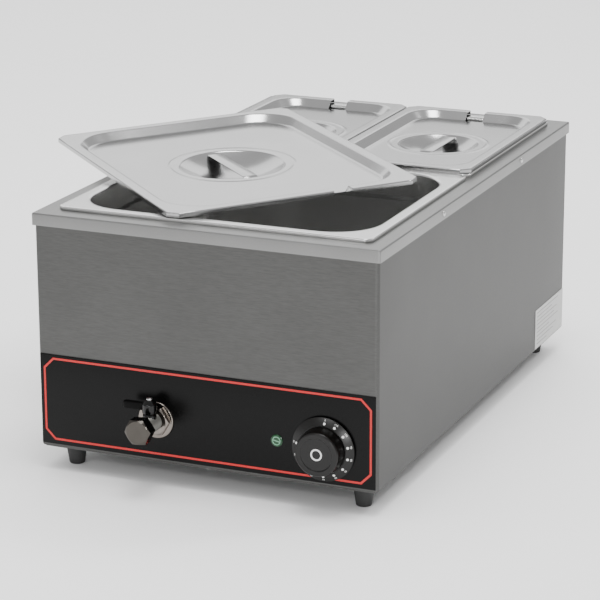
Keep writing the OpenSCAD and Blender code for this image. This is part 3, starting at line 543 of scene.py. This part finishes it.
def makePan(node):
    low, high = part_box(node)
    centre = (low + high) / 2
    width, depth = high.x - low.x, high.y - low.y
    radius = panCorners[node]
    cuts = [[], [], [], []]
    loops = []
    for inset, z in softPath([(0, -pan["rimDrop"], 0), (0, 0, pan["rimBend"]), (pan["rimRun"], 0, 0)]):
        corner = pan["rimCorner"] - cornerFall * inset
        loops.append(rectLoop(width - 2 * inset, depth - 2 * inset, corner, pan["cornerPower"], z, cuts))
    inner = pan["rim"]
    floor = -(high.z - low.z) + pan["sheet"]
    section = softPath([
        (inner - pan["mouthRun"], 0, 0), (inner, 0, pan["mouthBend"]),
        (inner + pan["neckDraft"], -pan["shoulder"], pan["shoulderBend"]),
        (inner + pan["shoulderStep"], -pan["shoulder"] - pan["shoulderDrop"], pan["shoulderBend"]),
        (inner + pan["shoulderStep"] + pan["draft"], floor, pan["floorBend"]), (inner + pan["floorRun"], floor, 0)])
    for inset, z in section:
        corner = max(radius - (inset - inner), pan["leastCorner"])
        loops.append(rectLoop(width - 2 * inset, depth - 2 * inset, corner, 1, z, cuts))
    makePiece(node + "_shell", loft(loops, capped=True), "stainlessPan", node, [node],
              Matrix.Translation((centre.x, centre.y, high.z)), pan["sheet"])


def lidLoops(width, depth, radius, bowl, notchAt):
    half = lid["notch"] / 2
    cuts = [[notchAt - half, notchAt + half], [], [], []]
    loops = []
    for inset, z in softPath([(0, -lid["drop"], 0), (0, 0, lid["rimBend"]), (lid["rimRun"], 0, 0)]):
        corner = lid["rimCorner"] - cornerFall * inset
        loops.append(rectLoop(width - 2 * inset, depth - 2 * inset, corner, lid["cornerPower"], z, cuts))
    foot = lid["rim"] + lid["wallRun"]
    section = softPath([(lid["rim"] - lid["rimRun"], 0, 0), (lid["rim"], 0, lid["wallTop"]),
                        (foot, -lid["sink"], lid["wallFoot"]), (foot + lid["footRun"], -lid["sink"], 0)])
    for inset, z in section:
        corner = radius - (inset - lid["rim"]) * cornerFall
        loops.append(rectLoop(width - 2 * inset, depth - 2 * inset, corner, 1, z, cuts))
    wallLoops = len(loops)
    bead = bowl + lid["beadGap"]
    # The first and last loops hold the sheet flat beside the bead
    for offset, lift in ((3, 0), (2, 0), (0.8, 0.8), (0, 1), (-0.8, 0.8), (-2, 0), (-3, 0)):
        loops.append(roundLoop(bead + offset * mm, -lid["sink"] + lift * lid["beadHeight"], cuts))
    ball = (bowl ** 2 + lid["bowlSink"] ** 2) / (2 * lid["bowlSink"])
    edge = bowl + lid["bowlLip"] / 2
    loops.append(roundLoop(edge + lid["lipGap"], -lid["sink"], cuts))
    for step in range(lid["lipSteps"] + 1):
        a = step / lid["lipSteps"]
        loops.append(roundLoop(edge - a * lid["bowlLip"], -lid["sink"] - (a ** 2) * lid["lipDrop"], cuts))
    start = edge - lid["bowlLip"]
    for step in range(1, lid["bowlSteps"]):
        r = start * math.cos(math.pi / 2 * step / lid["bowlSteps"])
        z = ball - lid["bowlSink"] - math.sqrt(ball ** 2 - r ** 2)
        loops.append(roundLoop(r, -lid["sink"] + z, cuts))
    return loops, wallLoops


def lidShape(width, depth, radius, bowl, notchAt):
    loops, wallLoops = lidLoops(width, depth, radius, bowl, notchAt)

    def inNotch(loop, step):
        return loop < wallLoops - 2 and sidePoints <= step < 2 * sidePoints
    return loft(loops, inNotch, capped=True)


def strapShape(bowl):
    half = strap["width"] / 2
    top = -lid["sink"] - strap["drop"]
    reach = bowl - strap["endGap"]
    section = softPath([(-reach, top - strap["endDrop"], 0), (-reach + strap["endRun"], top, strap["bend"]),
                        (reach - strap["endRun"], top, strap["bend"]), (reach, top - strap["endDrop"], 0)], 4)
    flat, edge = half - strap["bevel"], -strap["bevelDrop"]
    rows = [(-half, edge), (-flat, 0), (flat, 0), (half, edge)]
    vertices = [(x, y, z + dz) for y, z in section for x, dz in rows]
    faces = []
    for i in range(len(section) - 1):
        for j in range(3):
            a = i * 4 + j
            faces.append((a, a + 1, a + 5, a + 4))
    return vertices, faces


def makeLid(body, node, strapNode, size, look, place):
    shape = lidShape(size[0], size[1], look["corner"], look["bowl"], look["notchAt"])
    makePiece(node + "_shell", shape, "stainlessLid", body, [node], place, lid["sheet"])
    makePiece(strapNode + "_bar", strapShape(look["bowl"]), "stainlessLid", body, [strapNode], place,
              strap["thick"])


def makeLids():
    for side in ("left", "right"):
        low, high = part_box("rear_%s_lid" % side)
        centre = (low + high) / 2
        place = Matrix.Translation((centre.x, centre.y, high.z)) @ Matrix.Rotation(math.pi, 4, "Z")
        makeLid("rear_%s_lid" % side, "rear_%s_lid" % side, "rear_%s_strap" % side,
                (high.x - low.x, high.y - low.y), quarterLid, place)
    low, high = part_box("front_lid")
    centre = (low + high) / 2
    tilt = math.radians(halfLid["tilt"])
    turn = Matrix.Rotation(tilt, 4, "X") @ Matrix.Rotation(math.radians(halfLid["turn"]), 4, "Z")
    inset = 0.35 * lid["rimCorner"]        # how far the cut corners stand in from the square ones
    across, along = halfLid["short"] / 2 - inset, halfLid["long"] / 2 - inset
    outer = [turn @ Vector((x * across, y * along, 0)) for x in (-1, 1) for y in (-1, 1)]
    top = high.z - max(p.z for p in outer)
    place = Matrix.Translation((centre.x, centre.y, top)) @ turn
    makeLid("front_lid", "front_lid", "front_strap", (halfLid["short"], halfLid["long"]), halfLid, place)


for panNode in panCorners:
    makePan(panNode)
makeLids()
print("pans and lids made")


# Control panel, dial and lamp

border = {"halfWidth": 170.2 * mm, "low": 32.4 * mm, "high": 114.6 * mm, "cut": 9.7 * mm, "line": 2.1 * mm,
          "proud": 0.08 * mm}
panel = {"edge": 0.4 * mm}


def makePanel():
    low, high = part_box("control_panel")
    work = bmesh.new()
    bmesh.ops.create_cube(work, size=1)
    mesh = bpy.data.meshes.new("controlFoil")
    work.to_mesh(mesh)
    work.free()
    piece = bpy.data.objects.new("controlFoil", mesh)
    bpy.context.scene.collection.objects.link(piece)
    size = high - low
    place = Matrix.Translation((low + high) / 2) @ Matrix.Diagonal((size.x, size.y, size.z, 1))
    dressPiece(piece, "printedFoil", "chassis", ["control_panel"], place, bevel=panel["edge"])
    makeBorder(low.y)


def borderPoints(inset):
    w, z0, z1 = border["halfWidth"] - inset, border["low"] + inset, border["high"] - inset
    c = border["cut"] - inset * 0.586      # 2 - sqrt(2): keeps the line as wide across the cut corners
    return [(-w + c, z0), (w - c, z0), (w, z0 + c), (w, z1 - c),
            (w - c, z1), (-w + c, z1), (-w, z1 - c), (-w, z0 + c)]


def makeBorder(y):
    half = border["line"] / 2
    vertices = [(x, y - border["proud"], z) for inset in (-half, half) for x, z in borderPoints(inset)]
    faces = [(i, (i + 1) % 8, 8 + (i + 1) % 8, 8 + i) for i in range(8)]
    makePiece("borderLine", (vertices, faces), "redPrint", "chassis", sheet=border["proud"] * 0.9)


makePanel()
print("control panel made")

knob = {"dial": 63 * mm, "dialEdge": 0.7 * mm, "dialThick": 4 * mm, "grip": 46 * mm, "gripEnd": 43 * mm,
        "gripLength": 14 * mm, "groove": 0.8 * mm, "grooveDepth": 0.6 * mm, "hollow": 0.9 * mm,
        "edgeBend": 0.2 * mm, "skirtBend": 0.3 * mm, "gripBend": 2.2 * mm, "gripFlat": 5 * mm, "flatBend": 1.0 * mm,
        "hollowEdge": 6 * mm, "hollowBend": 0.8 * mm, "ringHeight": 0.55 * mm, "printLift": 0.08 * mm,
        "ring": 11.5 * mm, "ringLine": 1.3 * mm, "dotRadius": 26.3 * mm, "dot": 1.25 * mm, "numberRadius": 29.3 * mm,
        "numberHeight": 2.6 * mm, "firstMark": 172.0, "markStep": 25.0, "marks": 11, "zeroAt": 85.0}


def printedText(word, height):
    curve = bpy.data.curves.new("print", "FONT")
    curve.body = word
    curve.size = height
    curve.align_x = "CENTER"
    curve.align_y = "CENTER"
    curve.resolution_u = 2
    text = bpy.data.objects.new("print", curve)
    bpy.context.scene.collection.objects.link(text)
    bpy.context.view_layer.update()
    mesh = bpy.data.meshes.new_from_object(text.evaluated_get(bpy.context.evaluated_depsgraph_get()))
    shape = ([tuple(v.co) for v in mesh.vertices], [tuple(p.vertices) for p in mesh.polygons])
    bpy.data.objects.remove(text)
    return shape


def dialPrint(inner, top, slope):
    # Dots and numbers laid on the sloped skirt, which is highest at the inner radius
    shapes = []
    marks = [(knob["zeroAt"], "0")]
    marks += [(knob["firstMark"] + knob["markStep"] * i, str(10 * (i + 1))) for i in range(knob["marks"])]
    for angle, word in marks:
        a = math.radians(angle)
        spin = Matrix.Rotation(a - math.pi / 2, 4, "Z")
        dot = lathe([(0, 0), (knob["dot"], 0)], 20)
        dotShape = (dot[0], [f[::-1] for f in dot[1]])
        number = printedText(word, knob["numberHeight"])
        for shape, radius in ((dotShape, knob["dotRadius"]), (number, knob["numberRadius"])):
            lift = top - (radius - inner) * math.tan(slope)
            lay = spin @ Matrix.Translation((0, radius, lift)) @ Matrix.Rotation(-slope, 4, "X")
            shapes.append(moved(shape, lay))
    return joined(*shapes)


def makeKnob():
    low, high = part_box("knob")
    x, z = (low.x + high.x) / 2, (low.z + high.z) / 2
    place = outOfFront(x, high.y, z)
    t, reach = knob["dialThick"], knob["dialThick"] + knob["gripLength"]
    rim, foot, end = knob["dial"] / 2, knob["grip"] / 2, knob["gripEnd"] / 2
    inner, bottom, face = foot + knob["groove"], t - knob["grooveDepth"], reach - knob["hollow"]
    profile = softPath([(0, 0, 0), (rim, 0, knob["edgeBend"]), (rim, knob["dialEdge"], knob["skirtBend"]),
                        (inner, t, knob["edgeBend"]), (inner, bottom, 0), (foot, bottom, 0),
                        (end, reach, knob["gripBend"]), (end - knob["gripFlat"], reach, knob["flatBend"]),
                        (end - knob["hollowEdge"], face, knob["hollowBend"]), (0, face, 0)], 6)
    makePiece("knobBody", lathe(profile, 96), "mouldedKnob", "thermostat_knob", ["knob"], place)
    r, top = knob["ring"] / 2, knob["ringHeight"]
    hole = r - knob["ringLine"]
    hub = softPath([(0, 0, 0), (r, 0, 0), (r, top, 0.3 * mm), (hole, top, 0.2 * mm), (hole - 0.3 * mm, 0.25 * mm, 0)])
    hubShape = lathe(hub, 48)
    ringPlace = place @ Matrix.Translation((0, 0, face))
    makePiece("knobRing", hubShape, "whitePrint", "thermostat_knob", [], ringPlace)
    makePiece("knobHub", lathe([(hole - 0.2 * mm, 0.3 * mm), (0, 0.42 * mm)], 40), "mouldedKnob", "thermostat_knob",
              ["knob_cap"], ringPlace)
    slope = math.atan((t - knob["dialEdge"]) / (rim - inner))
    makePiece("dialMarks", dialPrint(inner, t + knob["printLift"], slope), "whitePrint", "thermostat_knob",
              [], place)


lamp = {"lensEdge": 0.8 * mm, "lensShoulder": 1.1 * mm, "lensTop": 1.3 * mm, "ring": 8.6 * mm, "line": 1.0 * mm,
        "ringFoot": 0.9 * mm, "ringTop": 1.7 * mm, "ringBend": 0.3 * mm, "barTop": 1.65 * mm, "turn": -12}


def makeLamp():
    low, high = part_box("lamp_lens")
    x, z = (low.x + high.x) / 2, (low.z + high.z) / 2
    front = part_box("control_panel")[0].y
    place = outOfFront(x, front, z)
    r, edge = (high.x - low.x) / 2, lamp["lensEdge"]
    lens = softPath([(r, 0, 0), (r, edge, 0.4 * mm), (r - edge, lamp["lensShoulder"], 0.3 * mm),
                     (0, lamp["lensTop"], 0)])
    makePiece("lampLens", lathe(lens, 48), "tintedLens", "chassis", ["lamp_lens"], place)
    outer, inner = lamp["ring"] / 2, lamp["ring"] / 2 - lamp["line"]
    foot, top, bend = lamp["ringFoot"], lamp["ringTop"], lamp["ringBend"]
    ring = softPath([(outer, foot, 0), (outer, top, bend), (inner, top, bend), (inner, foot, 0)])
    half, reach = lamp["line"] / 2, inner + lamp["line"] / 2
    corners = [(-reach, -half), (reach, -half), (reach, half), (-reach, half)]
    bar = ([(cx, cy, h) for h in (foot, lamp["barTop"]) for cx, cy in corners],
           [(4, 5, 6, 7), (0, 1, 5, 4), (1, 2, 6, 5), (2, 3, 7, 6), (3, 0, 4, 7)])
    turn = Matrix.Rotation(math.radians(lamp["turn"]), 4, "Z")
    # the ring and bar take the painted highlight colour of the lens
    makePiece("lampRing", joined(lathe(ring, 48), moved(bar, turn)), "highlightLens", "chassis", [], place)


makeKnob()
makeLamp()
print("knob and lamp made")


# Drain tap

tap = {"washer": 37 * mm, "washerThick": 2 * mm, "nutFlats": 27 * mm, "nutThick": 4.5 * mm, "barrel": 18 * mm,
       "pitch": 1.8 * mm, "threadDepth": 0.7 * mm, "plainEnd": 2 * mm, "bore": 10 * mm, "inside": 22 * mm,
       "nutTurn": 30, "nutCut": 0.6 * mm, "capFlats": 24 * mm, "capLength": 12 * mm, "capTurn": 34.5,
       "capCut": 1.0 * mm, "boss": 14.5 * mm, "bossHeight": 13.6 * mm, "armWidth": 7 * mm, "armHeight": 7 * mm,
       "armLift": 2.5 * mm, "armBevel": 1.2 * mm, "washerBend": 1.2 * mm, "washerFlat": 6 * mm, "barrelBevel": 0.6 * mm,
       "collar": 6.6 * mm, "collarTop": 5.4 * mm, "collarShoulder": 0.4 * mm, "collarRise": 2 * mm,
       "bossFoot": 0.6 * mm, "bossWaist": 3 * mm, "bossShoulder": 4.5 * mm, "bossCrown": 3.2 * mm,
       "screwEdge": 0.9 * mm, "screwShoulder": 1.5 * mm, "screwTop": 1.55 * mm, "screw": 3.2 * mm}


def hexShape(flats, height, cut):
    # A hexagon bar whose end is turned down to a cone, which leaves curved edges on the flats
    count = 72
    slope = math.tan(math.radians(30))
    face = flats / 2 - cut
    rings = [[], [], []]
    for i in range(count):
        a = 2 * math.pi * i / count
        r = flats / 2 / math.cos((a + math.pi / 6) % (math.pi / 3) - math.pi / 6)
        rings[0].append((r * math.cos(a), r * math.sin(a), 0))
        rings[1].append((r * math.cos(a), r * math.sin(a), height - (r - face) * slope))
        rings[2].append((face * math.cos(a), face * math.sin(a), height))
    vertices, faces = loft(rings, capped=True)
    return vertices, faces + [tuple(reversed(range(count)))]


def makeTap():
    low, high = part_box("tap_washer")
    x, z, face = (low.x + high.x) / 2, (low.z + high.z) / 2, high.y
    place = outOfFront(x, face, z)
    r, t = tap["washer"] / 2, tap["washerThick"]
    washer = softPath([(r, 0, 0), (r, t, tap["washerBend"]), (r - tap["washerFlat"], t, 0),
                       (tap["barrel"] / 2, t, 0)], 6)
    makePiece("tapWasher", lathe(washer, 96), "platedTap", "chassis", ["tap_washer"], place)
    nutPlace = place @ Matrix.Translation((0, 0, t)) @ Matrix.Rotation(math.radians(tap["nutTurn"]), 4, "Z")
    makePiece("tapFrontNut", hexShape(tap["nutFlats"], tap["nutThick"], tap["nutCut"]), "platedTap", "chassis",
              ["tap_front_nut"], nutPlace, smoothAngle=20)
    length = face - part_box("tap_barrel")[0].y
    br = tap["barrel"] / 2
    profile = [(br, -tap["inside"]), (br, t + tap["nutThick"])]
    turns = int((length - t - tap["nutThick"] - tap["plainEnd"]) / tap["pitch"])
    for i in range(turns):
        start = t + tap["nutThick"] + i * tap["pitch"]
        profile += [(br - tap["threadDepth"], start + tap["pitch"] * 0.5), (br, start + tap["pitch"])]
    bevel = tap["barrelBevel"]
    profile += [(br, length - bevel), (br - bevel, length), (tap["bore"] / 2, length)]
    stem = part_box("lever_screw")
    stemX, stemY = (stem[0].x + stem[1].x) / 2, (stem[0].y + stem[1].y) / 2
    makePiece("tapBody", lathe(profile, 96), "threadedPlate", "chassis", ["tap_barrel"], place)
    side, top = tap["collar"], br + tap["collarRise"]
    collar = softPath([(side, 0, 0), (side, br + tap["collarShoulder"], 1.0 * mm), (tap["collarTop"], top, 0.6 * mm),
                       (0, top, 0)])
    makePiece("stemCollar", lathe(collar, 48), "dippedLever", "chassis", [],
              Matrix.Translation((stemX, stemY, z)))
    capPlace = outOfFront(x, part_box("tap_cap")[1].y, z) @ Matrix.Rotation(math.radians(tap["capTurn"]), 4, "Z")
    # the end cap takes a darker copy of the tap plating
    makePiece("endCap", hexShape(tap["capFlats"], tap["capLength"], tap["capCut"]), "darkerCapPlate", "end_cap",
              ["tap_cap"], capPlace, smoothAngle=20)
    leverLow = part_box("tap_lever")[0]
    b = tap["boss"] / 2
    h = tap["bossHeight"]
    boss = softPath([(0, 0, 0), (b - tap["bossFoot"], 0, 0.5 * mm), (b, tap["bossWaist"], 2 * mm),
                     (b, h - tap["bossShoulder"], 3 * mm), (b - tap["bossCrown"], h, 1.5 * mm), (0, h, 0)], 6)
    bossShape = moved(lathe(boss, 60), Matrix.Translation((stemX, stemY, leverLow.z)))
    makePiece("leverBoss", bossShape, "dippedLever", "tap_handle", ["tap_lever"])
    arm = armShape(stemX - leverLow.x, tap["armWidth"], tap["armHeight"])
    makePiece("leverArm", moved(arm, Matrix.Translation((stemX, stemY, leverLow.z + tap["armLift"]))), "mattVinyl",
              "tap_handle", bevel=tap["armBevel"])
    head = tap["screw"]
    screw = softPath([(0, -2 * mm, 0), (head, 0, 0), (head, tap["screwEdge"], 0.8 * mm),
                      (head / 2, tap["screwShoulder"], 0.8 * mm), (0, tap["screwTop"], 0)])
    makePiece("leverScrewHead", moved(lathe(screw, 40), Matrix.Translation((stemX, stemY, leverLow.z + h))),
              "zincScrew", "tap_handle", ["lever_screw"])


def armShape(length, width, height):
    # A flat arm towards -X with a round end
    points = [(0, -width / 2), (0, width / 2)]
    centre = -length + width / 2
    for i in range(13):
        a = math.pi / 2 + math.pi * i / 12
        points.append((centre + width / 2 * math.cos(a), width / 2 * math.sin(a)))
    count = len(points)
    vertices = [(x, y, 0) for x, y in points] + [(x, y, height) for x, y in points]
    faces = [tuple(reversed(range(count))), tuple(range(count, 2 * count))]
    faces += [(i, (i + 1) % count, count + (i + 1) % count, count + i) for i in range(count)]
    return vertices, faces


makeTap()
print("tap made")


# Feet, screws and the rating plate

foot = {"top": 11 * mm, "sole": 7.5 * mm, "recess": 4.75 * mm, "recessDepth": 10 * mm}
deckScrew = {"radius": 2.75 * mm, "height": 1.6 * mm}
plate = {"line": 0.9 * mm, "margin": 5 * mm, "proud": 0.02 * mm,
         "reach": (0.86, 0.6, 0.8, 0.7, 0.86, 0.5, 0.78, 0.66, 0.4)}


def makeFeet():
    low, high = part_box("feet")
    spots = [(sx, sy) for sx in (low.x + foot["top"], high.x - foot["top"])
             for sy in (low.y + foot["top"], high.y - foot["top"])]
    profile = softPath([(foot["recess"], foot["recessDepth"], 0), (foot["recess"], 0, 0.4 * mm),
                        (foot["sole"], 0, 1.2 * mm), (foot["top"], high.z, 0.8 * mm), (0, high.z, 0)], 4)
    shape = lathe(profile, 56)
    makePiece("rubberFeet", joined(*[moved(shape, Matrix.Translation((x, y, 0))) for x, y in spots]), "mouldedRubber",
              "chassis", ["feet"])


def screwHead(radius, height):
    profile = softPath([(0, -0.6 * mm, 0), (radius, 0, 0), (radius, height * 0.45, height * 0.5),
                        (radius * 0.45, height, height * 0.7), (radius * 0.3, height, 0), (0, height * 0.55, 0)], 3)
    return lathe(profile, 32)


def makeDeckScrews():
    low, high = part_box("deck_screws")
    z = (low.z + high.z) / 2
    radius, height = deckScrew["radius"], deckScrew["height"]
    head = screwHead(radius, height)
    heads = []
    for x, turn in ((low.x, -math.pi / 2), (high.x, math.pi / 2)):
        for y in (low.y + radius, high.y - radius):
            inset = height if x > 0 else -height
            heads.append(moved(head, Matrix.Translation((x - inset, y, z)) @ Matrix.Rotation(turn, 4, "Y")))
    makePiece("deckScrewHeads", joined(*heads), "zincScrew", "chassis", ["deck_screws"])


def makeRatingPlate():
    low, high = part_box("rating_plate")
    shapes = []
    x, margin = high.x, plate["margin"]
    for i, reach in enumerate(plate["reach"]):
        z = high.z - (high.z - low.z) * (i + 1) / (len(plate["reach"]) + 1)
        y0 = low.y + margin
        y1 = y0 + (high.y - low.y - 2 * margin) * reach
        top = z + plate["line"]
        shapes.append(([(x, y0, z), (x, y1, z), (x, y1, top), (x, y0, top)], [(0, 1, 2, 3)]))
    makePiece("plateLines", moved(joined(*shapes), Matrix.Translation((plate["proud"], 0, 0))), "greyPrint", "chassis")


makeFeet()
makeDeckScrews()
makeRatingPlate()
print("feet, screws and plate made")


# Every CAD node that still shows gets its finish

nodeFinish = {
    "stainlessCasing": ["rear_panel", "base_plate"],
    "stainlessTank": ["tank", "bar_brackets", "element_rests", "bulb_clip", "cutout_bracket"],
    "stainlessPan": ["cross_bar"],
    "platedTap": ["tap_inner_nut", "tap_ball", "drain_spigot", "drain_nut"],
    "zincScrew": ["foot_screws", "foot_nuts", "base_screws", "rear_screws", "thermostat_screws", "thermostat_shaft"],
    "elementTube": ["heating_element"],
    "machinedBrass": ["element_sleeves", "element_nuts", "earth_stud"],
    "drawnCopper": ["drain_elbow", "thermostat_bulb"],
    "mouldedRubber": ["element_seals", "drain_seal", "cap_seal"],
    "turnedPlastic": ["tap_seats"],
    "mouldedCase": ["thermostat_case", "lamp_holder", "terminal_block"],
    "mouldedGland": ["cable_gland", "gland_nut", "cutout_switch"],
    "glazedCeramic": ["element_terminals"],
    "silverFoil": ["rating_plate"],
    "insulatedLead": ["wiring"],
}
for finish, nodes in nodeFinish.items():
    for node in nodes:
        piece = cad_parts[node]
        piece.data.materials.clear()
        piece.data.materials.append(materials[finish])
print("finishes set")
